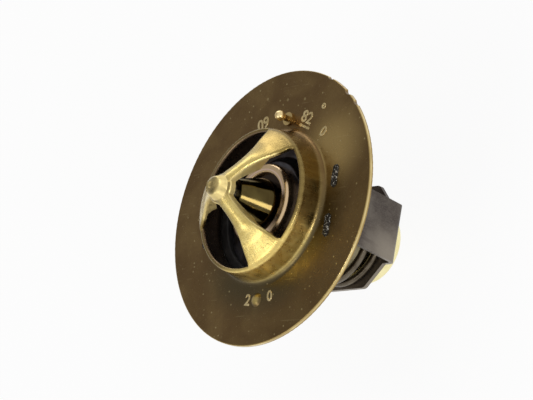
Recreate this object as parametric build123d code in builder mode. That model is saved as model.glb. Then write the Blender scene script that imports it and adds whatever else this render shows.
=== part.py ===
"""Engine coolant thermostat: a wax-pellet valve hung in a pressed brass flange and bridge.

Millimetres. +Z runs from the wax cup up through the bridge's nub. The origin is the centre of the
flange's back face, which is the face that seats in the engine. +X runs through a stirrup leg.
"""

from build123d import *
import os
from math import asin, atan2, cos, degrees, hypot, isclose, radians, sin, sqrt

os.makedirs("parts", exist_ok=True)

# ---------------------------------------------------------------- driving sizes
# flange and bridge, one brass pressing
flange_radius = 33.5
sheet = 1.1                      # brass sheet thickness
throat_radius = 17.0             # water way through the flange
foot_bend = 1.5                  # bend radius where the collar leaves the flange face
collar_draft = 0.5               # how far the collar leans in over its height
collar_height = 7.6
collar_bend = 2.2
rim_round = 0.15
neck_radius = 3.0                # where the roof runs into the nub
neck_height = 17.2
neck_bend = 1.0
nub_height = 19.9
nub_radius = 2.0
nub_round = 1.8
nub_wall = 1.2                   # metal over the piston's end
dimple_radius = 1.3
dimple_depth = 0.3

# windows between the three legs of the bridge
leg_count = 3
leg_turn = 62.0                  # azimuth of the first leg
window_radius = 16.4
window_inner_radius = 3.65
leg_neck_half = 1.95             # half width of a leg beside the nub
leg_neck_length = 7.0
leg_waist = (11.0, 3.0)          # run from the axis, half width
leg_calf = (13.9, 4.5)
leg_foot_half = 5.1
window_corner = 0.6
leg_edge_round = 0.6
lip_wall = 0.8                   # turned-down lips along the legs
lip_depth = 2.1
lip_start = 3.0
lip_deepest = 8.2
lip_end = 11.6
lip_root = 0.3

# locating bump, vent hole and rim damage on the flange
bump_at = (0.7, -22.5)
bump_radius = 1.7
bump_rise = 0.8
vent_reach = 3.4                 # from the collar's foot out to the vent hole's centre
vent_azimuth = 86.0
vent_radius = 1.0
chip_azimuths = (65.5, 52.0, 44.5)
chip_depths = (0.45, 0.6, 0.35)
chip_radius = 1.9

# stirrup
strap = 1.0                      # steel strip thickness
leg_top_reach = 3.1              # from the collar's foot out to the strip's middle at the flange
leg_foot_x = 15.4                # strip's middle at the base
base_top = -25.3
base_half_width = 12.6
base_straight = 7.0
base_shoulder = 12.4
base_corner = 1.6
strap_half_width = 7.0
strap_head_half = 9.2
strap_head_z = -3.0
strap_flare_z = -8.0
strap_bend = 1.2
tab_y = 5.9
tab_length = 4.8
tab_rise = 0.45                  # peened head above the flange
tab_spread = 0.35                # how far the peening spreads it
slot_clearance = 0.1

# wax element
piston_radius = 1.95
piston_foot = -23.0
piston_taper_start = -10.0
piston_foot_radius = 1.4
slide_clearance = 0.08
guide_top = 13.2
guide_top_radius = 3.5
guide_base_radius = 5.9
guide_cone_end = 5.2
guide_rim = 1.2                  # thickness of the guide's clamped rim
guide_edge = 0.35
boot_rim = 1.3
boot_neck_radius = 3.6
boot_neck_top = 8.0
boot_sleeve_radius = 4.2
boot_floor = 1.3
cup_radius = 9.3
cup_wall = 0.9
cup_floor = 0.9
cup_end = -33.4
cup_corner = 1.6
cup_bead_reach = 0.6             # how far the bead stands out of the cup
cup_bead_z = 1.9                 # under side of the bead, which bears on the valve disc
cup_lip_reach = 1.5              # how far the rolled lip closes over the guide
cup_lip = 1.0
cup_lip_round = 0.95
clamp_wall = 1.0                 # wall of the bead, round the clamped boot and guide
clamp_ledge = 1.2
cup_hole_clearance = 0.3

# valve disc, seal and spring
disc_sheet = 1.0
disc_hub_flat = 11.0
disc_cone_foot = 12.6
disc_collar_depth = 2.4
disc_bend = 0.5
seal_overlap = 1.1               # how far the seal reaches under the bend of the seat
seal_width = 2.9
seal_overhang = 0.5              # beyond the disc
seal_height = 1.3
seal_round = 0.9
seat_gap = 0.1
wire_radius = 0.95
wire_sides = 8                   # the wire's section is drawn with flats, one of them on each seat
coil_foot_radius = 11.3
coil_head_radius = 14.4
coil_pitch = 4.4
end_coil_turn = 280.0            # flat turn at each end of the spring

# jiggle pin
pin_stem_radius = 0.75
pin_ball_radius = 1.25
pin_ball_z = 4.0
pin_collar_radius = 1.6
pin_collar = 0.5
pin_foot_radius = 1.5
pin_foot = 0.9
pin_travel = 1.3

# ---------------------------------------------------------------- worked out from them
foot_radius = throat_radius + sheet
vent_place = foot_radius + vent_reach
leg_top_x = foot_radius + leg_top_reach
collar_radius = foot_radius - collar_draft
roof_slope = (neck_height - collar_height) / (collar_radius - neck_radius)
sheet_drop = sheet * hypot(1, roof_slope)
back_bend = foot_bend + sheet
inner_collar_r = collar_radius - sheet
base_bottom = base_top - strap
cup_bead_radius = cup_radius + cup_bead_reach
clamp_radius = cup_bead_radius - clamp_wall
cup_lip_radius = clamp_radius - cup_lip_reach
piston_top = nub_height - nub_wall
socket_radius = piston_radius + slide_clearance / 2
guide_flange_bottom = clamp_ledge + boot_rim
guide_flange_top = guide_flange_bottom + guide_rim
cup_top = guide_flange_top + cup_lip
disc_hub_top = cup_bead_z
spring_foot_z = base_top + wire_radius
vent_at = (vent_place * cos(radians(vent_azimuth)), vent_place * sin(radians(vent_azimuth)))


def roof_top(r):
    """Height of the bridge's outer surface at radius r."""
    return neck_height - (r - neck_radius) * roof_slope


def roof_under(r):
    return roof_top(r) - sheet_drop


# the seal's rounded edge sits in the bend behind the collar
bump_recess = bump_radius - sheet / 2
collar_lean = (throat_radius - inner_collar_r) / roof_under(inner_collar_r)
bend_centre_r = throat_radius + back_bend * (hypot(1, collar_lean) - collar_lean)
seal_outer = throat_radius + seal_overlap
seal_inner = seal_outer - seal_width
disc_radius = seal_outer - seal_overhang
seal_centre_r = seal_outer - seal_round
seat_reach = back_bend + seal_round + seat_gap
seal_centre_z = back_bend - sqrt(seat_reach**2 - (bend_centre_r - seal_centre_r) ** 2)
disc_rim_top = seal_centre_z + seal_round - seal_height
spring_head_z = disc_rim_top - disc_sheet - wire_radius


def cap_ball(radius, rise):
    """Radius of the ball whose cap has this base radius and this rise."""
    return (radius**2 + rise**2) / (2 * rise)


def corner(sketch, place):
    """The vertex of a sketch nearest to a point (r, z) of its outline."""
    spot = Vector(place[0], place[1], 0)
    return sorted(sketch.vertices(), key=lambda v: (Vector(v.X, v.Y, v.Z) - spot).length)[0]


def on_roof(edge):
    """Whether an edge lies on the bridge's outer surface."""
    middle = edge.center()
    return middle.Z > collar_height / 2 and abs(middle.Z - roof_top(hypot(middle.X, middle.Y))) < sheet / 2


def cut_by_window(edge):
    """Whether an edge is one of the windows' inner or outer arcs."""
    return edge.geom_type == GeomType.CIRCLE and (
        isclose(edge.radius, window_radius) or isclose(edge.radius, window_inner_radius)
    )


def save(part, name):
    part.label = name
    export_step(part, f"parts/{name}.step")
    print(f"{name:14s} {part.volume:9.1f} mm3  {len(part.solids())} solid")


# ---------------------------------------------------------------- flange and bridge
socket_mouth = roof_under(socket_radius)

with BuildSketch() as pressing_profile:
    with BuildLine():
        Polyline(
            (flange_radius, 0),
            (flange_radius, sheet),
            (foot_radius, sheet),
            (collar_radius, collar_height),
            (neck_radius, neck_height),
            (nub_radius, nub_height),
            (0, nub_height),
            (0, piston_top),
            (socket_radius, piston_top),
            (socket_radius, socket_mouth),
            (inner_collar_r, roof_under(inner_collar_r)),
            (throat_radius, 0),
            close=True,
        )
    make_face()
    fillet(corner(pressing_profile, (flange_radius, 0)), rim_round)
    fillet(corner(pressing_profile, (flange_radius, sheet)), rim_round)
    fillet(corner(pressing_profile, (foot_radius, sheet)), foot_bend)
    fillet(corner(pressing_profile, (collar_radius, collar_height)), collar_bend)
    fillet(corner(pressing_profile, (neck_radius, neck_height)), neck_bend)
    fillet(corner(pressing_profile, (nub_radius, nub_height)), nub_round)
    fillet(corner(pressing_profile, (inner_collar_r, roof_under(inner_collar_r))), collar_bend - sheet)
    fillet(corner(pressing_profile, (throat_radius, 0)), back_bend)


def leg_side(run, half_width, side):
    """Point beside the leg that closes a window on one side, in the window's own frame."""
    turn = radians(side * 180 / leg_count)
    return (
        run * cos(turn) + side * half_width * sin(turn),
        run * sin(turn) - side * half_width * cos(turn),
    )


def window_outline(grow=0.0):
    """Plan of one window about +X. grow spreads it under the legs."""
    inner = window_inner_radius - grow
    outer = window_radius + grow
    neck = leg_neck_half - grow
    foot = leg_foot_half - grow
    stations = (
        (sqrt(inner**2 - neck**2), neck),
        (leg_neck_length, neck),
        (leg_waist[0], leg_waist[1] - grow),
        (leg_calf[0], leg_calf[1] - grow),
        (sqrt(outer**2 - foot**2), foot),
    )
    with BuildSketch(mode=Mode.PRIVATE) as window:
        with BuildLine():
            left = Spline(*[leg_side(run, half, 1) for run, half in stations])
            right = Spline(*[leg_side(run, half, -1) for run, half in stations])
            ThreePointArc(left @ 0, (inner, 0), right @ 0)
            ThreePointArc(left @ 1, (outer, 0), right @ 1)
        make_face()
        fillet(window.vertices(), window_corner)
    return window.sketch


with BuildPart() as window_cutter:
    with BuildSketch(Plane.XY.offset(sheet + foot_bend)):
        with PolarLocations(0, leg_count, start_angle=leg_turn + 180 / leg_count):
            add(window_outline())
    extrude(amount=nub_height)

with BuildPart() as lips:
    with BuildSketch(Plane.XZ):
        with BuildLine():
            Polyline(
                (lip_start, roof_under(lip_start) + lip_root),
                (lip_start, roof_under(lip_start)),
                (lip_deepest, roof_under(lip_deepest) - lip_depth),
                (lip_end, roof_under(lip_end)),
                (lip_end, roof_under(lip_end) + lip_root),
                close=True,
            )
        make_face()
    revolve(axis=Axis.Z)
    with BuildSketch(Plane.XY.offset(sheet + foot_bend)):
        with PolarLocations(0, leg_count, start_angle=leg_turn + 180 / leg_count):
            add(window_outline(lip_wall))
    extrude(amount=nub_height, mode=Mode.INTERSECT)

with BuildPart() as flange_bridge:
    with BuildSketch(Plane.XZ):
        add(pressing_profile.sketch)
    revolve(axis=Axis.Z)
    add(lips.part)
    add(window_cutter.part, mode=Mode.SUBTRACT)
    window_rims = [
        edge
        for edge in flange_bridge.edges()
        if on_roof(edge) and (edge.geom_type == GeomType.BSPLINE or cut_by_window(edge))
    ]
    fillet(window_rims, leg_edge_round)
    # locating bump, embossed from the back
    bump_plane = Plane(origin=(*bump_at, 0), x_dir=(1, 0, 0), z_dir=(0, -1, 0))
    bump_axis = Axis((*bump_at, 0), (0, 0, 1))
    with BuildSketch(bump_plane):
        with BuildLine():
            Line((0, sheet / 2), (bump_radius, sheet / 2))
            Line((bump_radius, sheet / 2), (bump_radius, sheet))
            RadiusArc((bump_radius, sheet), (0, sheet + bump_rise), -cap_ball(bump_radius, bump_rise))
            Line((0, sheet + bump_rise), (0, sheet / 2))
        make_face()
    revolve(axis=bump_axis)
    with BuildSketch(bump_plane):
        with BuildLine():
            Line((0, 0), (bump_recess, 0))
            RadiusArc((bump_recess, 0), (0, bump_rise), -cap_ball(bump_recess, bump_rise))
            Line((0, bump_rise), (0, 0))
        make_face()
    revolve(axis=bump_axis, mode=Mode.SUBTRACT)
    # dimple left by the punch in the nub's end
    with Locations((0, 0, nub_height - dimple_depth + dimple_radius)):
        Sphere(dimple_radius, mode=Mode.SUBTRACT)
    # vent hole, slots for the stirrup's tabs, chipped rim
    with BuildSketch(Plane.XY):
        with Locations(vent_at):
            Circle(vent_radius)
        with GridLocations(2 * leg_top_x, 2 * tab_y, 2, 2):
            SlotOverall(
                tab_length + 2 * tab_spread + 2 * slot_clearance, strap + 2 * slot_clearance, rotation=90
            )
        for azimuth, depth in zip(chip_azimuths, chip_depths):
            with PolarLocations(flange_radius + chip_radius - depth, 1, start_angle=azimuth):
                Circle(chip_radius)
    extrude(amount=sheet, mode=Mode.SUBTRACT)

save(flange_bridge.part, "flange_bridge")


# ---------------------------------------------------------------- stirrup
def strap_slope_x(z):
    """Middle of the strip at height z."""
    return leg_top_x + (leg_foot_x - leg_top_x) * z / (base_top - strap / 2)


strap_lean = (leg_top_x - leg_foot_x) / -(base_top - strap / 2)
half_strip = strap / 2 * hypot(1, strap_lean)
outer_foot_x = strap_slope_x(base_bottom) + half_strip
inner_foot_x = strap_slope_x(base_top) - half_strip

with BuildPart() as stirrup_outline:
    with BuildSketch(Plane.XY.offset(base_bottom)):
        Polygon(
            (base_straight, base_half_width),
            (base_shoulder, strap_half_width),
            (base_shoulder, -strap_half_width),
            (base_straight, -base_half_width),
            (-base_straight, -base_half_width),
            (-base_shoulder, -strap_half_width),
            (-base_shoulder, strap_half_width),
            (-base_straight, base_half_width),
            align=None,
        )
    extrude(amount=strap)
    fillet(
        [e for e in stirrup_outline.edges().filter_by(Axis.Z) if abs(e.center().Y) > strap_half_width + 1],
        base_corner,
    )
    with BuildSketch(Plane.YZ.offset(-leg_top_x - 2 * strap)):
        Polygon(
            (-strap_head_half, 0),
            (-strap_head_half, strap_head_z),
            (-strap_half_width, strap_flare_z),
            (-strap_half_width, base_bottom),
            (strap_half_width, base_bottom),
            (strap_half_width, strap_flare_z),
            (strap_head_half, strap_head_z),
            (strap_head_half, 0),
            align=None,
        )
    extrude(amount=2 * leg_top_x + 4 * strap)

with BuildPart() as stirrup:
    with BuildSketch(Plane.XZ) as strip_side:
        Polygon(
            (leg_top_x + half_strip, 0),
            (outer_foot_x, base_bottom),
            (-outer_foot_x, base_bottom),
            (-leg_top_x - half_strip, 0),
            (-leg_top_x + half_strip, 0),
            (-inner_foot_x, base_top),
            (inner_foot_x, base_top),
            (leg_top_x - half_strip, 0),
            align=None,
        )
        for side in (-1, 1):
            fillet(corner(strip_side, (side * outer_foot_x, base_bottom)), strap_bend + strap)
            fillet(corner(strip_side, (side * inner_foot_x, base_top)), strap_bend)
    extrude(amount=base_half_width, both=True)
    add(stirrup_outline.part, mode=Mode.INTERSECT)
    with Locations((0, 0, base_top)):
        Hole(cup_radius + cup_hole_clearance, depth=strap)
    # tabs through the flange, peened over its front face
    with BuildSketch(Plane.XY):
        with GridLocations(2 * leg_top_x, 2 * tab_y, 2, 2):
            Rectangle(strap, tab_length)
    extrude(amount=sheet)
    with BuildSketch(Plane.XY.offset(sheet)):
        with GridLocations(2 * leg_top_x, 2 * tab_y, 2, 2):
            SlotOverall(tab_length + 2 * tab_spread, strap + 2 * tab_spread, rotation=90)
    extrude(amount=tab_rise, taper=25)

save(stirrup.part, "stirrup")

# ---------------------------------------------------------------- wax element
with BuildPart() as wax_cup:
    with BuildSketch(Plane.XZ) as cup_profile:
        Polygon(
            (0, cup_end),
            (cup_radius, cup_end),
            (cup_radius, cup_bead_z),
            (cup_bead_radius, cup_bead_z),
            (cup_bead_radius, cup_top),
            (cup_lip_radius, cup_top),
            (cup_lip_radius, guide_flange_top),
            (clamp_radius, guide_flange_top),
            (clamp_radius, clamp_ledge),
            (cup_radius - cup_wall, clamp_ledge),
            (cup_radius - cup_wall, cup_end + cup_floor),
            (0, cup_end + cup_floor),
            align=None,
        )
        fillet(corner(cup_profile, (cup_radius, cup_end)), cup_corner)
        fillet(corner(cup_profile, (cup_radius - cup_wall, cup_end + cup_floor)), cup_corner - cup_wall)
        fillet(corner(cup_profile, (cup_bead_radius, cup_top)), cup_lip_round)
        fillet(corner(cup_profile, (cup_lip_radius, cup_top)), cup_lip / 2)
    revolve(axis=Axis.Z)

save(wax_cup.part, "wax_cup")

with BuildPart() as guide:
    with BuildSketch(Plane.XZ) as guide_profile:
        Polygon(
            (socket_radius, guide_top),
            (guide_top_radius, guide_top),
            (guide_base_radius, guide_cone_end),
            (guide_base_radius, guide_flange_top),
            (clamp_radius, guide_flange_top),
            (clamp_radius, guide_flange_bottom),
            (boot_neck_radius, guide_flange_bottom),
            (boot_neck_radius, boot_neck_top),
            (socket_radius, boot_neck_top),
            align=None,
        )
        fillet(corner(guide_profile, (guide_top_radius, guide_top)), guide_edge)
        fillet(corner(guide_profile, (guide_base_radius, guide_cone_end)), guide_edge)
    revolve(axis=Axis.Z)

save(guide.part, "piston_guide")

with BuildPart() as boot:
    with BuildSketch(Plane.XZ) as boot_profile:
        Polygon(
            (0, piston_foot - boot_floor),
            (boot_sleeve_radius, piston_foot - boot_floor),
            (boot_sleeve_radius, clamp_ledge),
            (clamp_radius, clamp_ledge),
            (clamp_radius, guide_flange_bottom),
            (boot_neck_radius, guide_flange_bottom),
            (boot_neck_radius, boot_neck_top),
            (socket_radius, boot_neck_top),
            (socket_radius, piston_taper_start),
            (piston_foot_radius + slide_clearance / 2, piston_foot - slide_clearance),
            (0, piston_foot - slide_clearance),
            align=None,
        )
        fillet(corner(boot_profile, (boot_sleeve_radius, piston_foot - boot_floor)), boot_floor / 2)
    revolve(axis=Axis.Z)

save(boot.part, "rubber_boot")

with BuildPart() as wax:
    with BuildSketch(Plane.XZ) as wax_profile:
        Polygon(
            (0, cup_end + cup_floor),
            (cup_radius - cup_wall, cup_end + cup_floor),
            (cup_radius - cup_wall, clamp_ledge),
            (0, clamp_ledge),
            align=None,
        )
        fillet(corner(wax_profile, (cup_radius - cup_wall, cup_end + cup_floor)), cup_corner - cup_wall)
    revolve(axis=Axis.Z)
    with BuildSketch(Plane.XZ) as boot_space:
        Polygon(
            (0, piston_foot - boot_floor),
            (boot_sleeve_radius, piston_foot - boot_floor),
            (boot_sleeve_radius, clamp_ledge),
            (0, clamp_ledge),
            align=None,
        )
        fillet(corner(boot_space, (boot_sleeve_radius, piston_foot - boot_floor)), boot_floor / 2)
    revolve(axis=Axis.Z, mode=Mode.SUBTRACT)

save(wax.part, "wax_charge")

with BuildPart() as piston:
    with BuildSketch(Plane.XZ) as piston_profile:
        Polygon(
            (0, piston_foot),
            (piston_foot_radius, piston_foot),
            (piston_radius, piston_taper_start),
            (piston_radius, piston_top),
            (0, piston_top),
            align=None,
        )
        fillet(corner(piston_profile, (piston_foot_radius, piston_foot)), guide_edge)
        chamfer(corner(piston_profile, (piston_radius, piston_top)), guide_edge)
    revolve(axis=Axis.Z)

save(piston.part, "piston")

# ---------------------------------------------------------------- valve disc and its seal
disc_slope = (disc_hub_top - disc_rim_top) / (disc_cone_foot - disc_hub_flat)
disc_bend_shift = disc_sheet * (hypot(1, disc_slope) - 1) / disc_slope

with BuildPart() as valve_disc:
    with BuildSketch(Plane.XZ) as disc_profile:
        Polygon(
            (cup_radius, disc_hub_top),
            (disc_hub_flat, disc_hub_top),
            (disc_cone_foot, disc_rim_top),
            (disc_radius, disc_rim_top),
            (disc_radius, disc_rim_top - disc_sheet),
            (disc_cone_foot - disc_bend_shift, disc_rim_top - disc_sheet),
            (disc_hub_flat - disc_bend_shift, disc_hub_top - disc_sheet),
            (cup_radius + disc_sheet, disc_hub_top - disc_sheet),
            (cup_radius + disc_sheet, disc_hub_top - disc_sheet - disc_collar_depth),
            (cup_radius, disc_hub_top - disc_sheet - disc_collar_depth),
            align=None,
        )
        fillet(corner(disc_profile, (disc_hub_flat, disc_hub_top)), disc_bend)
        fillet(corner(disc_profile, (disc_cone_foot, disc_rim_top)), disc_bend)
    revolve(axis=Axis.Z)

save(valve_disc.part, "valve_disc")

with BuildPart() as valve_seal:
    with BuildSketch(Plane.XZ) as seal_profile:
        Polygon(
            (seal_inner, disc_rim_top),
            (seal_outer, disc_rim_top),
            (seal_outer, disc_rim_top + seal_height),
            (seal_inner, disc_rim_top + seal_height),
            align=None,
        )
        fillet(corner(seal_profile, (seal_outer, disc_rim_top + seal_height)), seal_round)
        fillet(corner(seal_profile, (seal_inner, disc_rim_top + seal_height)), seal_round / 2)
    revolve(axis=Axis.Z)

save(valve_seal.part, "valve_seal")

# ---------------------------------------------------------------- main spring
coil_rise = spring_head_z - spring_foot_z
coil_cone = degrees(atan2(coil_head_radius - coil_foot_radius, coil_rise))
coil_turns = coil_rise / coil_pitch
head_azimuth = 360 * coil_turns


def wire_section():
    """Section of the wire with flats above and below."""
    return RegularPolygon(wire_radius, wire_sides, major_radius=False, rotation=180 / wire_sides)


def flat_coil(radius, z, start, sweep_angle):
    """Closed turn that lies flat on its seat."""
    with BuildPart(mode=Mode.PRIVATE) as turn:
        with BuildSketch(Plane.XZ):
            with Locations((radius, z)):
                wire_section()
        revolve(axis=Axis.Z, revolution_arc=sweep_angle)
    return turn.part.rotate(Axis.Z, start)


with BuildPart() as main_spring:
    with BuildLine():
        coil = Helix(
            pitch=coil_pitch,
            height=coil_rise,
            radius=coil_foot_radius,
            center=(0, 0, spring_foot_z),
            cone_angle=coil_cone,
        )
    with BuildSketch(Plane(origin=coil @ 0, x_dir=(1, 0, 0), z_dir=coil % 0)):
        wire_section()
    sweep(is_frenet=True)
    add(flat_coil(coil_foot_radius, spring_foot_z, -end_coil_turn, end_coil_turn))
    add(flat_coil(coil_head_radius, spring_head_z, head_azimuth, end_coil_turn))

save(main_spring.part, "main_spring")

# ---------------------------------------------------------------- jiggle pin
with BuildPart() as jiggle_pin:
    with BuildSketch(Plane(origin=(*vent_at, 0), x_dir=(1, 0, 0), z_dir=(0, -1, 0))):
        with BuildLine():
            ball_angle = asin(pin_stem_radius / pin_ball_radius)
            ball_foot = pin_ball_z - pin_ball_radius * cos(ball_angle)
            foot_top = -pin_travel
            foot_bottom = foot_top - pin_foot
            Line((0, foot_bottom), (pin_foot_radius, foot_bottom))
            Line((pin_foot_radius, foot_bottom), (pin_foot_radius, foot_top))
            Line((pin_foot_radius, foot_top), (pin_stem_radius, foot_top))
            Line((pin_stem_radius, foot_top), (pin_stem_radius, sheet))
            Line((pin_stem_radius, sheet), (pin_collar_radius, sheet))
            Line((pin_collar_radius, sheet), (pin_collar_radius, sheet + pin_collar))
            Line((pin_collar_radius, sheet + pin_collar), (pin_stem_radius, sheet + pin_collar))
            Line((pin_stem_radius, sheet + pin_collar), (pin_stem_radius, ball_foot))
            ThreePointArc(
                (pin_stem_radius, ball_foot),
                (pin_ball_radius, pin_ball_z),
                (0, pin_ball_z + pin_ball_radius),
            )
            Line((0, pin_ball_z + pin_ball_radius), (0, foot_bottom))
        make_face()
    revolve(axis=Axis((*vent_at, 0), (0, 0, 1)))

save(jiggle_pin.part, "jiggle_pin")
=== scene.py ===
"""Looks, light and camera for a wax-pellet engine thermostat.

Colours are linear. Materials work in the row frame in mm: +Z runs up through the bridge's nub, and z = 0 is the
flange's back.
"""

from math import cos, pi, radians, sin

import bpy
from mathutils import Matrix, Vector


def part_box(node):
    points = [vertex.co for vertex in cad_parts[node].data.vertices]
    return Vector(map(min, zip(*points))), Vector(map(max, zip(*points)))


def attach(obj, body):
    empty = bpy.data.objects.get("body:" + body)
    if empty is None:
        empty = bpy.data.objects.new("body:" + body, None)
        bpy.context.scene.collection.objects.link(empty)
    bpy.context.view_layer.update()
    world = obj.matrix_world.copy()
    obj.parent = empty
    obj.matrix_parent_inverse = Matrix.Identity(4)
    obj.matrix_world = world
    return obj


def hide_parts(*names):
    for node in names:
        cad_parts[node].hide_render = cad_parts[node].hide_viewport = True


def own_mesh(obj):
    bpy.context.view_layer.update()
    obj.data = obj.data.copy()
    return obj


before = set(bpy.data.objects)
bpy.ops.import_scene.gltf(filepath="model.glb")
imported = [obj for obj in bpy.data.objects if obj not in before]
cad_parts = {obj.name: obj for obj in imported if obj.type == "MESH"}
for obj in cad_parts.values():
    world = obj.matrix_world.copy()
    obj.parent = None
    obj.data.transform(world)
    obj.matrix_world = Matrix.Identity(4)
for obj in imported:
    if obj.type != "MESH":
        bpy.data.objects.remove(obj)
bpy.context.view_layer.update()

MM = 0.001

# ---------------------------------------------------------------- the camera's directions in the row frame
VIEW_RIGHT = Vector((0.6595, 0.1625, -0.7339))
VIEW_UP = Vector((0.0782, 0.9562, 0.2820))
VIEW_BACK = Vector((0.7476, -0.2433, 0.6179))
PIXEL = 0.2334 * MM                 # real size of one pixel at the object
FRAME_WIDTH = 533
FRAME_HEIGHT = 400
ORIGIN_AT = (273.5, 208.5)          # pixel that shows the row's origin
CAMERA_AWAY = 0.95
SENSOR = 36.0

# ---------------------------------------------------------------- sizes, in mm
FACE_Z = 1.1                        # the flange's front face
FLANGE_RADIUS = 33.5
INNER_WALL = 17.2                   # just outside the collar's inner wall, at its foot
WALL_LEAN = 0.07                    # how much the collar narrows for each mm of height
LEG_TURNS = (62.0, 182.0, 302.0)
LEG_CROWN = 1.0                     # how far a leg's shading bulges
PUNCH_MARKS = ((28.3, 105.3), (26.4, 90.3), (26.7, 77.1))   # radius and azimuth
SHEET_BUMP = 0.045                  # depth of the sheet's grain
GUIDE_BUMP = 0.004
GUIDE_STEEP = 0.21                  # how far the guide's shading leans back for each mm of height
WIRE_RADIUS = 0.95
WIRE_SIDES = 18
COIL_FOOT_RADIUS = 11.3
COIL_HEAD_RADIUS = 14.4
COIL_PITCH = 4.4
COIL_STEP = 6.0                     # degrees between two points of the wire's path
END_TURN = 280.0                    # flat turn at each end, in degrees
SPRING_SEAT_Z = -25.3
NUMBER_DEPTH = 0.03
NUMBER_ROUND = 0.05
FLOOR_Z = -41.6                     # below the cup when the valve is fully open
FLOOR_HALF = 3000.0
ANY_RADIUS = (-1, 60)

# ---------------------------------------------------------------- light
FLOOR_SHINE = 0.9                   # share of plain white in the floor as it is seen
SKY_LIGHT = 0.76
SKY_DIM = 0.42
DIM_SIDE = (-0.7476, 0.2433, 0.6179)
# name, place by the camera's directions in metres, width and height in metres, watts
LAMPS = (
    ("key", (0.26, -0.12, 0.78), (0.26, 0.16), 1.3),
    ("top", (-0.28, 0.66, -0.24), (0.50, 0.26), 0.7),
    ("front_left", (-0.60, -0.37, 0.50), (0.42, 0.34), 0.9),
    ("low_right", (0.60, -0.35, -0.05), (0.40, 0.25), 0.35),
)

# name, characters, radius, azimuth, height, whether its feet point outwards
NUMBERS = (
    ("number_left", "09", 22.3, 109.6, 3.9, False),
    ("number_right", "82", 22.6, 69.5, 4.0, False),
    ("number_bar", "---", 20.8, 68.6, 4.2, False),
    ("number_ring", "0", 22.4, 50.0, 3.5, False),
    ("number_rim", "o", 27.2, 60.8, 2.6, False),
    ("number_foot_left", "2", 22.6, -96.0, 3.8, True),
    ("number_foot_right", "0", 22.5, -76.6, 3.6, True),
)


def rgb(red, green, blue):
    return (red, green, blue, 1.0)


def darker(colour, share):
    return rgb(*(share * part for part in colour[:3]))


# ---------------------------------------------------------------- colours
SHEET_DARK = rgb(0.176, 0.105, 0.040)
SHEET_LIGHT = rgb(0.242, 0.155, 0.060)
SHEET_MOTTLE = rgb(0.135, 0.080, 0.031)
SHEET_RIGHT_SHADE = rgb(0.120, 0.072, 0.023)
SHEET_PAINTED_SHEEN = rgb(0.55, 0.385, 0.145)
SHEET_DARK_PATCH = rgb(0.084, 0.072, 0.037)
SHEET_BACK = rgb(0.22, 0.14, 0.062)
COLLAR_DARK = rgb(0.20, 0.136, 0.045)
COLLAR_LIGHT = rgb(0.27, 0.192, 0.066)
# painted highlight: lit copies of the collar's colours for its lower right side
COLLAR_LIT_DARK = rgb(0.92, 0.67, 0.21)
COLLAR_LIT_LIGHT = rgb(1.0, 0.79, 0.29)
COLLAR_STREAK = rgb(0.70, 0.53, 0.20)
SHOULDER = rgb(0.30, 0.215, 0.075)
SHOULDER_LIT = rgb(0.74, 0.56, 0.19)
LEG_LIT_DARK = rgb(0.64, 0.48, 0.155)
LEG_LIT_LIGHT = rgb(0.74, 0.59, 0.22)
LEG_PAINTED_SHADE = rgb(0.47, 0.335, 0.110)
LEG_EDGE_SHADE = rgb(0.30, 0.215, 0.065)
NUB = rgb(0.50, 0.385, 0.165)
LIP_HIGHLIGHT = rgb(0.92, 0.74, 0.32)
THROAT_SHADE = rgb(0.165, 0.115, 0.078)
RIM_DULL = rgb(0.40, 0.275, 0.095)
RIM_HIGHLIGHT = rgb(0.92, 0.76, 0.38)
SCRATCHED = rgb(0.56, 0.45, 0.22)
STRIP_DARK = rgb(0.066, 0.052, 0.044)
STRIP_LIGHT = rgb(0.125, 0.106, 0.088)
STRIP_GRAIN = rgb(0.165, 0.145, 0.122)
STRIP_SMEAR = rgb(0.050, 0.036, 0.032)
STRIP_ROLLED = rgb(0.155, 0.134, 0.115)
STRIP_FOOT_LIT = rgb(0.285, 0.248, 0.200)
STRIP_SPECK = rgb(0.12, 0.09, 0.07)
TAB_PIT = rgb(0.030, 0.026, 0.022)
TAB_STRUCK = rgb(0.52, 0.50, 0.44)
RUBBER = rgb(0.012, 0.011, 0.011)
RUBBER_DUST = rgb(0.035, 0.032, 0.03)
WAX_DARK = rgb(0.55, 0.26, 0.15)
WAX_LIGHT = rgb(0.80, 0.52, 0.36)
CUP = (rgb(0.88, 0.78, 0.40), rgb(1.0, 0.91, 0.53))
CUP_MOUTH = rgb(0.74, 0.52, 0.31)
CUP_COPPER_HIGHLIGHT = rgb(0.95, 0.68, 0.54)
CUP_SHADE = rgb(0.19, 0.155, 0.105)
# painted reflection: the guide's brass is made very dark for the dark surroundings it mirrors
GUIDE_SHADED = (rgb(0.082, 0.058, 0.020), rgb(0.118, 0.088, 0.029))
GUIDE_SOCKET_SHADE = rgb(0.035, 0.022, 0.015)
PISTON = (rgb(0.25, 0.24, 0.22), rgb(0.42, 0.41, 0.39))
DISC = (rgb(0.062, 0.056, 0.060), rgb(0.130, 0.128, 0.145))
PIN = (rgb(0.80, 0.54, 0.22), rgb(0.95, 0.78, 0.42))
PIN_STEM_SHADE = rgb(0.20, 0.125, 0.048)
PIN_COLLAR = rgb(0.66, 0.48, 0.20)
SPRING = (rgb(0.095, 0.077, 0.055), rgb(0.18, 0.152, 0.110))
NUMBER = (rgb(0.62, 0.47, 0.22), rgb(0.86, 0.70, 0.38))
PAPER = rgb(0.9, 0.9, 0.9)
WHITE = rgb(1, 1, 1)

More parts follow.
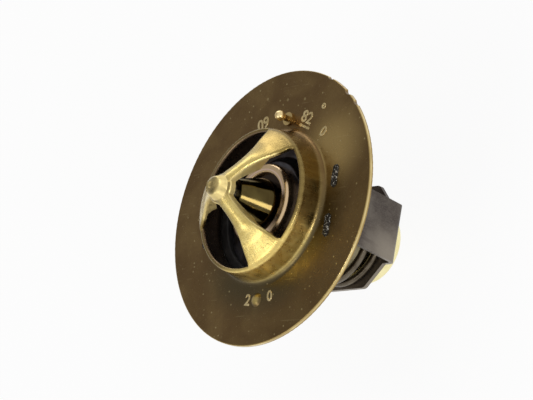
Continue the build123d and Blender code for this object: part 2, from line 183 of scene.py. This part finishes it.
# low z, high z, soft z, lowest and highest radius, colour, share
CUP_ZONES = (
    (0.5, 20.0, 0.25, ANY_RADIUS, CUP_MOUTH, 0.9),
    # the lip's thin ring: its cut edge's copper colour, brightened as a painted highlight
    (3.0, 20.0, 0.25, (8.05, 8.35), CUP_COPPER_HIGHLIGHT, 0.95),
    # painted shade on the cup's body between the stirrup and the flange
    (-22.5, 0.5, 2.0, ANY_RADIUS, CUP_SHADE, 0.85),
)
# painted shade on the guide's lower end, deep in the cup's mouth
GUIDE_ZONES = ((0.0, 4.3, 0.25, ANY_RADIUS, GUIDE_SOCKET_SHADE, 0.95),)
PIN_ZONES = (
    # painted shade on the pin's stem under its ball
    (-5.0, 2.7, 0.25, ANY_RADIUS, PIN_STEM_SHADE, 0.95),
    (0.9, 1.64, 0.04, ANY_RADIUS, PIN_COLLAR, 0.9),
)


# ---------------------------------------------------------------- materials
class Look:
    """A procedural material, with short calls for the nodes it is made of."""

    def __init__(self, name):
        self.material = bpy.data.materials.new(name)
        self.material.use_nodes = True
        self.tree = self.material.node_tree
        self.shader = self.tree.nodes["Principled BSDF"]
        coordinates = self.node("ShaderNodeTexCoord")
        self.place = self.vector("SCALE", coordinates.outputs["Object"], scale=1 / MM)
        self.x, self.y, self.z = self.split(self.place)
        self.up = self.split(coordinates.outputs["Normal"])[2]
        squared = self.math("ADD", self.times(self.x, self.x), self.times(self.y, self.y))
        self.radius = self.math("SQRT", squared)
        self.turn = self.math("ARCTAN2", self.y, self.x)

    def node(self, kind, **settings):
        made = self.tree.nodes.new(kind)
        for name, value in settings.items():
            setattr(made, name, value)
        return made

    def feed(self, socket, value):
        """Joins a socket to another one, or sets it."""
        if isinstance(value, bpy.types.NodeSocket):
            self.tree.links.new(value, socket)
        else:
            socket.default_value = value

    def math(self, operation, a, b=0.0, clamp=False):
        made = self.node("ShaderNodeMath", operation=operation, use_clamp=clamp)
        self.feed(made.inputs[0], a)
        self.feed(made.inputs[1], b)
        return made.outputs[0]

    def times(self, a, b):
        return self.math("MULTIPLY", a, b)

    def vector(self, operation, a, b=(0, 0, 0), scale=1.0):
        made = self.node("ShaderNodeVectorMath", operation=operation)
        self.feed(made.inputs[0], a)
        self.feed(made.inputs[1], b)
        made.inputs[3].default_value = scale
        return made.outputs["Value" if operation == "DISTANCE" else "Vector"]

    def split(self, vector):
        made = self.node("ShaderNodeSeparateXYZ")
        self.feed(made.inputs[0], vector)
        return made.outputs

    def join(self, x, y, z):
        made = self.node("ShaderNodeCombineXYZ")
        for socket, value in zip(made.inputs, (x, y, z)):
            self.feed(socket, value)
        return made.outputs[0]

    def ramp(self, value, low, high, start=0.0, end=1.0):
        """Smooth step of a value from start at low to end at high."""
        made = self.node("ShaderNodeMapRange", interpolation_type="SMOOTHSTEP")
        names = ("Value", "From Min", "From Max", "To Min", "To Max")
        for name, given in zip(names, (value, low, high, start, end)):
            self.feed(made.inputs[name], given)
        return made.outputs[0]

    def band(self, value, low, high, soft):
        """1 between low and high, with soft ends."""
        above = self.ramp(value, low - soft, low + soft)
        return self.times(above, self.ramp(value, high - soft, high + soft, 1, 0))

    def spot(self, centre, inner, outer):
        """1 within inner mm of a point, 0 past outer mm."""
        return self.ramp(self.vector("DISTANCE", self.place, centre), inner, outer, 1, 0)

    def noise(self, scale, detail=3.0, place=None, rough=0.5, warp=0.0):
        made = self.node("ShaderNodeTexNoise")
        self.feed(made.inputs["Vector"], self.place if place is None else place)
        made.inputs["Scale"].default_value = scale
        made.inputs["Detail"].default_value = detail
        made.inputs["Roughness"].default_value = rough
        made.inputs["Distortion"].default_value = warp
        return made.outputs["Fac"]

    def specks(self, scale, size):
        """Scattered small dots."""
        made = self.node("ShaderNodeTexVoronoi", feature="F1")
        self.feed(made.inputs["Vector"], self.place)
        made.inputs["Scale"].default_value = scale
        few = self.ramp(self.split(made.outputs["Color"])[0], 0.72, 0.8)
        return self.times(self.ramp(made.outputs["Distance"], size * 0.4, size, 1, 0), few)

    def lines(self, angle, scale, share):
        """Thin scratches that run at an angle across the face."""
        along = self.node("ShaderNodeMapping")
        self.feed(along.inputs["Vector"], self.place)
        along.inputs["Rotation"].default_value = (0, 0, radians(angle))
        along.inputs["Scale"].default_value = (0.05, 1.0, 0.3)
        return self.ramp(self.noise(scale, 2.0, along.outputs[0], 0.6, 0.4), 1 - share, 1 - share + 0.05)

    def stretched(self, x, y, z):
        """Coordinates that draw a noise out along the axes that have small factors."""
        return self.vector("MULTIPLY", self.place, (x, y, z))

    def around(self, along_turn, along_height):
        """Coordinates for streaks on a turned or drawn piece."""
        return self.join(
            self.times(self.math("COSINE", self.turn), along_turn),
            self.times(self.math("SINE", self.turn), along_turn),
            self.times(self.math("ADD", self.z, self.radius), along_height),
        )

    def blend(self, share, under, over):
        made = self.node("ShaderNodeMix", data_type="RGBA")
        self.feed(made.inputs["Factor"], share)
        self.feed(made.inputs[6], under)
        self.feed(made.inputs[7], over)
        return made.outputs[2]

    def bump(self, height, depth_mm):
        made = self.node("ShaderNodeBump")
        made.inputs["Distance"].default_value = depth_mm * MM
        self.feed(made.inputs["Height"], height)
        self.feed(self.shader.inputs["Normal"], made.outputs[0])

    def finish(self, colour, rough, metallic):
        self.feed(self.shader.inputs["Base Color"], colour)
        self.feed(self.shader.inputs["Roughness"], rough)
        self.shader.inputs["Metallic"].default_value = metallic
        return self.material


def dress(node, material):
    """Gives a solid from the frame its material."""
    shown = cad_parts[node]
    shown.data.materials.clear()
    shown.data.materials.append(material)


def flange_look():
    """Aged olive-brown sheet with scratches and specks, bright yellow on the drawn legs partly as painted
    light, painted highlights on the collar's lower right side, on the lips and along the rim, and painted shade
    inside the collar.
    """
    look = Look("flange_brass")
    mottle = look.noise(0.55, 5, rough=0.62)
    grain = look.noise(5.0, 3, rough=0.6)
    fine_streak = look.noise(3.4, 3, look.around(17.0, 0.05), 0.6)
    low_right = look.math("SUBTRACT", look.times(look.x, 0.42), look.times(look.y, 0.91))
    low_right = look.math("DIVIDE", low_right, look.radius)
    # mask of the lower right side, where a painted highlight goes on the collar and its shoulder
    lit_side = look.ramp(low_right, 0.6, 0.92)
    face = look.times(look.band(look.z, FACE_Z - 0.2, FACE_Z + 0.2, 0.15), look.ramp(look.up, 0.9, 0.98))
    collar = look.ramp(look.z, 1.3, 2.4)
    roof = look.ramp(look.z, 4.5, 10.5)
    leg, crown = bridge_legs(look)
    lip = turned_down_lip(look)
    wear = flange_wear(look)

    colour = flange_sheet(look, mottle, face, low_right)
    colour = look.blend(collar, colour, collar_side(look, fine_streak, lit_side))
    colour = look.blend(roof, colour, bridge_roof(look, mottle, leg, crown, lit_side))
    # painted highlight: the lips are made brighter so they read as lit
    colour = look.blend(lip, colour, LIP_HIGHLIGHT)
    # painted shade inside the collar and under the roof
    colour = look.blend(look.times(inside_the_collar(look), 0.93), colour, THROAT_SHADE)
    rim = look.ramp(look.radius, FLANGE_RADIUS - 0.35, FLANGE_RADIUS - 0.08)
    broken = look.ramp(look.noise(0.12, 2), 0.35, 0.65, 0.35, 1.0)
    # painted highlight: a broken bright line along the middle of the rim's thickness
    highlight_line = look.times(look.band(look.z, 0.45, 0.95, 0.2), broken)
    colour = look.blend(look.times(rim, 0.85), colour, look.blend(highlight_line, RIM_DULL, RIM_HIGHLIGHT))
    colour = look.blend(look.times(wear, look.times(face, 0.68)), colour, SCRATCHED)
    back = look.ramp(look.z, 0.02, 0.3, 1, 0)
    colour = look.blend(look.times(back, 0.5), colour, SHEET_BACK)

    rough = look.ramp(mottle, 0.3, 0.75, 0.25, 0.40)
    rough = look.math("SUBTRACT", rough, look.times(roof, 0.06))
    rough = look.math("ADD", rough, look.times(lip, 0.2))
    height = look.math("ADD", look.times(grain, 0.25), look.times(mottle, 0.9))
    height = look.math("SUBTRACT", height, look.times(wear, 0.8))
    height = look.math("ADD", height, look.times(look.times(fine_streak, collar), 0.7))
    bulge = look.times(look.times(crown, look.ramp(look.radius, 9.5, 14.0, 1, 0)), LEG_CROWN / SHEET_BUMP)
    look.bump(look.math("ADD", height, bulge), SHEET_BUMP)
    return look.finish(colour, rough, 1.0)


def flange_sheet(look, mottle, face, low_right):
    """Cloudy brown sheet with painted shade to the right, a painted sheen at the upper right and a darker patch
    by the collar.
    """
    cloudy = look.noise(0.09, 4, warp=0.6)
    colour = look.blend(look.ramp(cloudy, 0.35, 0.68), SHEET_DARK, SHEET_LIGHT)
    colour = look.blend(look.ramp(mottle, 0.42, 0.75, 0, 0.45), colour, SHEET_MOTTLE)
    # painted shade: the sheet darkens towards the right
    right = look.math("SUBTRACT", look.times(look.x, 0.8), look.times(look.y, 0.45))
    colour = look.blend(look.ramp(right, 5.0, 26.0, 0, 0.45), colour, SHEET_RIGHT_SHADE)
    # painted sheen: a lighter spot on the face at the upper right
    painted_sheen = look.times(look.spot((18.2, 12.2, FACE_Z), 2.0, 13.5), face)
    colour = look.blend(look.times(painted_sheen, 0.76), colour, SHEET_PAINTED_SHEEN)
    # darker patch on the face by the collar, towards the lower right
    blotch = look.times(look.ramp(look.radius, 20.0, 29.0, 1, 0), look.ramp(low_right, -0.1, 0.7))
    return look.blend(look.times(blotch, 0.72), colour, SHEET_DARK_PATCH)


def collar_side(look, fine_streak, lit_side):
    """Drawn wall with streaks up it, with a painted highlight on its lower right side."""
    streak = look.ramp(look.noise(0.9, 4, look.around(17.0, 0.12), 0.55), 0.35, 0.68)
    dull = look.blend(streak, COLLAR_DARK, COLLAR_LIGHT)
    # painted highlight on the collar's lower right side
    bright = look.blend(streak, COLLAR_LIT_DARK, COLLAR_LIT_LIGHT)
    colour = look.blend(lit_side, dull, bright)
    return look.blend(look.ramp(fine_streak, 0.5, 0.75, 0, 0.15), colour, COLLAR_STREAK)


def bridge_roof(look, mottle, leg, crown, lit_side):
    """Bright legs with painted shade on their edges and on the upper leg, a duller nub and the collar's
    shoulder round them, its lower right side with a painted highlight.
    """
    # the legs' bright yellow: partly the brass's own colour, partly painted light as a lit copy of the sheet
    colour = look.blend(look.ramp(mottle, 0.3, 0.7), LEG_LIT_DARK, LEG_LIT_LIGHT)
    # painted shade on the upper leg, growing towards the collar
    upper = look.ramp(look.math("DIVIDE", look.y, look.radius), 0.3, 0.8)
    colour = look.blend(look.times(upper, look.ramp(look.radius, 7.0, 14.5)), colour, LEG_PAINTED_SHADE)
    # painted shade: darker towards the legs' edges, away from their middle line
    colour = look.blend(look.ramp(crown, 0.0, 0.75, 1, 0), colour, LEG_EDGE_SHADE)
    nub = look.ramp(look.radius, 2.4, 4.2, 1, 0)
    colour = look.blend(look.times(nub, 0.8), colour, NUB)
    # painted highlight on the shoulder's lower right side
    shoulder = look.blend(lit_side, SHOULDER, SHOULDER_LIT)
    return look.blend(look.math("MAXIMUM", leg, nub), shoulder, colour)


def turned_down_lip(look):
    """Mask of the lips along the legs, which face sideways inside the collar, where a painted highlight goes.
    """
    sideways = look.times(look.ramp(look.up, 0.5, 0.75, 1, 0), look.ramp(look.z, 7.0, 8.0))
    return look.times(sideways, look.ramp(look.radius, 13.0, 14.5, 1, 0))


def inside_the_collar(look):
    """Mask of the painted shade on the collar's inner wall and on the roof's under side."""
    wall_radius = look.math("ADD", look.radius, look.times(look.z, WALL_LEAN))
    wall = look.ramp(wall_radius, INNER_WALL, INNER_WALL + 0.3, 1, 0)
    wall = look.times(wall, look.ramp(look.z, 7.2, 7.8, 1, 0))
    under_roof = look.times(look.ramp(look.up, -0.5, -0.2, 1, 0), look.ramp(look.z, 5.0, 7.0))
    return look.math("MAXIMUM", wall, under_roof)


def flange_wear(look):
    """Mask of dots, scratches and punch marks on the flange's face."""
    scratch = look.math("MAXIMUM", look.lines(24, 1.6, 0.30), look.lines(-52, 2.1, 0.28))
    wear = look.math("MAXIMUM", look.specks(0.75, 0.21), look.times(look.specks(1.9, 0.23), 0.5))
    wear = look.math("MAXIMUM", wear, look.times(scratch, 0.3))
    for reach, turn in PUNCH_MARKS:
        mark = look.spot((reach * cos(radians(turn)), reach * sin(radians(turn)), FACE_Z), 0.18, 0.5)
        wear = look.math("MAXIMUM", wear, look.times(mark, 0.7))
    return wear


def bridge_legs(look):
    """Mask of the bridge's three legs, and how near a point is to a leg's middle line, from 0 to 1."""
    leg = 0.0
    crown = 0.0
    for turn in LEG_TURNS:
        east, north = cos(radians(turn)), sin(radians(turn))
        along = look.math("ADD", look.times(look.x, east), look.times(look.y, north))
        across = look.math("SUBTRACT", look.times(look.y, east), look.times(look.x, north))
        calf = look.ramp(along, 6.0, 14.5, 2.1, 4.9)
        half = look.math("MAXIMUM", calf, look.ramp(along, 14.0, 16.5, 0.0, 6.2))
        share = look.math("DIVIDE", look.math("ABSOLUTE", across), half)
        here = look.times(look.ramp(along, 1.0, 2.5), look.ramp(share, 0.95, 1.25, 1, 0))
        middle = look.times(here, look.math("SUBTRACT", 1.0, look.times(share, share), clamp=True))
        leg = look.math("MAXIMUM", here, leg)
        crown = look.math("MAXIMUM", middle, crown)
    leg = look.times(leg, look.ramp(look.radius, 15.2, 17.4, 1, 0))
    return leg, crown


def strip_look():
    """Grey steel strip with rolling marks, made lighter at its foot as painted light, and struck bright where
    its tabs are staked.
    """
    look = Look("stirrup_steel")
    rolled = look.noise(1.7, 4, look.stretched(0.5, 2.2, 0.08), 0.6)
    grain = look.noise(3.6, 3, look.stretched(1.0, 1.0, 0.4), 0.65)
    smear = look.noise(0.5, 4, look.stretched(1.0, 1.0, 0.22), 0.6, 0.4)
    pits = look.noise(2.3, 2, rough=0.7)
    staked = look.ramp(look.z, 0.7, 1.0)
    colour = look.blend(look.ramp(look.noise(0.16, 3), 0.38, 0.62), STRIP_DARK, STRIP_LIGHT)
    colour = look.blend(look.ramp(grain, 0.45, 0.7, 0, 0.4), colour, STRIP_GRAIN)
    colour = look.blend(look.ramp(smear, 0.53, 0.68, 0, 0.7), colour, STRIP_SMEAR)
    colour = look.blend(look.ramp(rolled, 0.4, 0.75, 0, 0.4), colour, STRIP_ROLLED)
    # painted light: the strip lightens towards its foot
    foot = look.times(look.ramp(look.z, -24.0, -9.0, 0.9, 0), look.ramp(look.y, -5.5, 3.0, 1, 0))
    colour = look.blend(foot, colour, STRIP_FOOT_LIT)
    colour = look.blend(look.times(look.specks(1.1, 0.14), 0.5), colour, STRIP_SPECK)
    colour = look.blend(staked, colour, look.blend(look.ramp(pits, 0.55, 0.66), TAB_PIT, TAB_STRUCK))
    look.bump(look.math("ADD", look.times(grain, 0.5), look.times(look.times(pits, staked), 9.0)), 0.05)
    return look.finish(colour, look.ramp(rolled, 0.3, 0.8, 0.38, 0.52), 1.0)


def turned_look(name, shades, polish, ring=2.6, zones=(), relief=0.02, steep=0.0):
    """Turned or drawn metal with fine rings, a little stained. Its zones have colours of their own, some of
    them painted shade and painted highlight.
    """
    look = Look(name)
    dark, light = shades
    rings = look.noise(ring, 4, look.around(0.6, 1.0), 0.6)
    blotch = look.noise(0.28, 4, warp=0.5)
    grain = look.noise(4.5, 3)
    colour = look.blend(look.ramp(blotch, 0.32, 0.7), dark, light)
    colour = look.blend(look.ramp(rings, 0.45, 0.75, 0, 0.35), colour, light)
    colour = look.blend(look.times(look.specks(1.5, 0.15), 0.4), colour, darker(dark, 0.4))
    for low, high, soft, reach, tint, share in zones:
        place = look.times(look.band(look.z, low, high, soft), look.band(look.radius, *reach, 0.08))
        colour = look.blend(look.times(place, share), colour, tint)
    height = look.math("ADD", rings, look.times(grain, 0.3))
    look.bump(look.math("SUBTRACT", height, look.times(look.z, steep / relief)), relief)
    return look.finish(colour, look.ramp(blotch, 0.3, 0.75, polish, polish + 0.14), 1.0)


def rubber_look(name):
    """Black moulded rubber, a little dusty."""
    look = Look(name)
    fine = look.noise(6.0, 3)
    colour = look.blend(look.ramp(look.noise(0.6, 4), 0.4, 0.75), RUBBER, RUBBER_DUST)
    look.bump(fine, 0.02)
    return look.finish(colour, look.ramp(fine, 0.3, 0.7, 0.5, 0.68), 0.0)


def wax_look():
    """Wax filled with copper powder."""
    look = Look("wax")
    powder = look.noise(9.0, 2)
    colour = look.blend(look.ramp(powder, 0.4, 0.6), WAX_DARK, WAX_LIGHT)
    look.bump(powder, 0.02)
    return look.finish(colour, look.ramp(powder, 0.3, 0.7, 0.45, 0.6), 0.0)


# ---------------------------------------------------------------- spring
def tube(name, path, wire):
    """Round wire swept along a path of points about the Z axis, with closed ends."""
    vertices = []
    for k, point in enumerate(path):
        before = path[max(k - 1, 0)]
        after = path[min(k + 1, len(path) - 1)]
        ahead = (after - before).normalized()
        out = Vector((point.x, point.y, 0)).normalized()
        out = (out - ahead * out.dot(ahead)).normalized()
        over = ahead.cross(out)
        for side in range(WIRE_SIDES):
            angle = 2 * pi * side / WIRE_SIDES
            vertices.append(point + out * (wire * cos(angle)) + over * (wire * sin(angle)))
    faces = []
    for k in range(len(path) - 1):
        for side in range(WIRE_SIDES):
            a = k * WIRE_SIDES + side
            b = k * WIRE_SIDES + (side + 1) % WIRE_SIDES
            faces.append((a, a + WIRE_SIDES, b + WIRE_SIDES, b))
    faces.append(tuple(range(WIRE_SIDES)))
    faces.append(tuple(reversed(range(len(vertices) - WIRE_SIDES, len(vertices)))))
    made = add_mesh(name, vertices, faces)
    for face in made.data.polygons:
        face.use_smooth = len(face.vertices) == 4
    return made


def add_mesh(name, vertices_mm, faces):
    mesh = bpy.data.meshes.new(name)
    mesh.from_pydata([vertex * MM for vertex in vertices_mm], [], faces)
    return add(name, mesh)


def add(name, data):
    """Puts a mesh, curve, light or camera in the scene."""
    made = bpy.data.objects.new(name, data)
    bpy.context.scene.collection.objects.link(made)
    return made


def spring_path():
    """Centre line of the spring: a flat turn, a widening helix and another flat turn, in mm."""
    low = SPRING_SEAT_Z + WIRE_RADIUS
    high = 1000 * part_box("main_spring")[1][2] - WIRE_RADIUS
    rise = high - low
    climb = 360 * rise / COIL_PITCH
    path = []
    turn = -END_TURN
    while turn < climb + END_TURN + COIL_STEP / 2:
        share = min(max(turn / climb, 0.0), 1.0)
        reach = COIL_FOOT_RADIUS + (COIL_HEAD_RADIUS - COIL_FOOT_RADIUS) * share
        path.append(Vector((reach * cos(radians(turn)), reach * sin(radians(turn)), low + rise * share)))
        turn += COIL_STEP
    return path


# ---------------------------------------------------------------- stamped numbers
def stamp(name, characters, radius, azimuth, height, feet_out, material):
    """Plain numbers struck in the flange, reading along its ring."""
    curve = bpy.data.curves.new(name, "FONT")
    curve.body = characters
    curve.size = height * MM
    curve.align_x = "CENTER"
    curve.align_y = "CENTER"
    curve.extrude = NUMBER_DEPTH * MM
    curve.bevel_depth = NUMBER_ROUND * MM
    curve.offset = NUMBER_ROUND * MM
    written = add(name + "_text", curve)
    bpy.context.view_layer.update()
    shaped = written.evaluated_get(bpy.context.evaluated_depsgraph_get())
    mesh = bpy.data.meshes.new_from_object(shaped)
    bpy.data.objects.remove(written)
    made = add(name, mesh)
    lean = azimuth + 90 if feet_out else azimuth - 90
    spot = Vector((radius * cos(radians(azimuth)), radius * sin(radians(azimuth)), FACE_Z)) * MM
    made.matrix_world = Matrix.Translation(spot) @ Matrix.Rotation(radians(lean), 4, "Z")
    made.data.materials.append(material)
    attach(made, "root")


# ---------------------------------------------------------------- floor, light and camera
def seen_ray(tree):
    """1 for the rays that show the surroundings: straight, mirrored and passed through."""
    path = tree.nodes.new("ShaderNodeLightPath")
    total = path.outputs["Is Camera Ray"]
    for ray in ("Is Glossy Ray", "Is Transmission Ray"):
        more = tree.nodes.new("ShaderNodeMath")
        more.operation = "MAXIMUM"
        tree.links.new(total, more.inputs[0])
        tree.links.new(path.outputs[ray], more.inputs[1])
        total = more.outputs[0]
    return total


def floor():
    """Pale floor that shows white but keeps the object's shadow."""
    sides = ((-1, -1), (1, -1), (1, 1), (-1, 1))
    corners = [Vector((x * FLOOR_HALF, y * FLOOR_HALF, FLOOR_Z)) for x, y in sides]
    made = add_mesh("floor", corners, [(0, 1, 2, 3)])
    material = bpy.data.materials.new("floor_paper")
    material.use_nodes = True
    tree = material.node_tree
    paper = tree.nodes["Principled BSDF"]
    paper.inputs["Base Color"].default_value = PAPER
    paper.inputs["Roughness"].default_value = 0.9
    paper.inputs["Specular IOR Level"].default_value = 0.0
    white = tree.nodes.new("ShaderNodeEmission")
    white.inputs["Color"].default_value = WHITE
    share = tree.nodes.new("ShaderNodeMath")
    share.operation = "MULTIPLY"
    share.inputs[1].default_value = FLOOR_SHINE
    seen = tree.nodes.new("ShaderNodeMixShader")
    tree.links.new(seen_ray(tree), share.inputs[0])
    tree.links.new(share.outputs[0], seen.inputs[0])
    tree.links.new(paper.outputs[0], seen.inputs[1])
    tree.links.new(white.outputs[0], seen.inputs[2])
    tree.links.new(seen.outputs[0], tree.nodes["Material Output"].inputs["Surface"])
    made.data.materials.append(material)


def studio_sky():
    """Soft white surroundings with a dim side that the flange's face mirrors."""
    world = bpy.data.worlds.new("studio")
    bpy.context.scene.world = world
    world.use_nodes = True
    tree = world.node_tree
    light = tree.nodes["Background"]
    place = tree.nodes.new("ShaderNodeTexCoord")
    toward = tree.nodes.new("ShaderNodeVectorMath")
    toward.operation = "DOT_PRODUCT"
    toward.inputs[1].default_value = DIM_SIDE
    dim = tree.nodes.new("ShaderNodeMapRange")
    dim.interpolation_type = "SMOOTHSTEP"
    for name, value in (("From Min", 0.6), ("From Max", 0.97), ("To Min", SKY_LIGHT), ("To Max", SKY_DIM)):
        dim.inputs[name].default_value = value
    tree.links.new(place.outputs["Generated"], toward.inputs[0])
    tree.links.new(toward.outputs["Value"], dim.inputs["Value"])
    tree.links.new(dim.outputs[0], light.inputs["Strength"])
    light.inputs["Color"].default_value = WHITE


def lamp(name, place, size, watts):
    """Soft lamp that faces the object."""
    data = bpy.data.lights.new(name, "AREA")
    data.shape = "RECTANGLE"
    data.size, data.size_y = size
    data.energy = watts
    right, up, back = place
    made = add(name, data)
    made.location = VIEW_RIGHT * right + VIEW_UP * up + VIEW_BACK * back
    made.rotation_euler = (-made.location).to_track_quat("-Z", "Y").to_euler()


def camera():
    """Long lens, so that the perspective is as weak as in the photo."""
    data = bpy.data.cameras.new("camera")
    data.sensor_width = SENSOR
    data.lens = SENSOR * CAMERA_AWAY / (FRAME_WIDTH * PIXEL)
    data.clip_start = 0.01
    made = add("camera", data)
    across = (FRAME_WIDTH / 2 - ORIGIN_AT[0]) * PIXEL
    above = (ORIGIN_AT[1] - FRAME_HEIGHT / 2) * PIXEL
    aim = VIEW_RIGHT * across + VIEW_UP * above
    axes = Matrix((VIEW_RIGHT, VIEW_UP, VIEW_BACK)).transposed().to_4x4()
    made.matrix_world = Matrix.Translation(aim + VIEW_BACK * CAMERA_AWAY) @ axes
    bpy.context.scene.camera = made


# ---------------------------------------------------------------- the object
dress("flange_bridge", flange_look())
dress("stirrup", strip_look())
dress("wax_cup", turned_look("cup_brass", CUP, 0.20, zones=CUP_ZONES))
dress("piston_guide", turned_look("guide_brass", GUIDE_SHADED, 0.09, zones=GUIDE_ZONES,
                                  relief=GUIDE_BUMP, steep=GUIDE_STEEP))
dress("rubber_boot", rubber_look("boot_rubber"))
dress("valve_seal", rubber_look("seal_rubber"))
dress("wax_charge", wax_look())
dress("piston", turned_look("piston_steel", PISTON, 0.2))
dress("valve_disc", turned_look("disc_steel", DISC, 0.3, ring=1.4))
dress("jiggle_pin", turned_look("pin_brass", PIN, 0.2, zones=PIN_ZONES))

spring = tube("spring_wire", spring_path(), WIRE_RADIUS)
spring.data.materials.append(turned_look("spring_steel", SPRING, 0.26))
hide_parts("main_spring")
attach(spring, "root")

number_brass = turned_look("number_brass", NUMBER, 0.22)
for number in NUMBERS:
    stamp(*number, number_brass)

floor()
studio_sky()
for given in LAMPS:
    lamp(*given)
camera()
bpy.context.scene.view_settings.view_transform = "Standard"

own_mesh(spring)
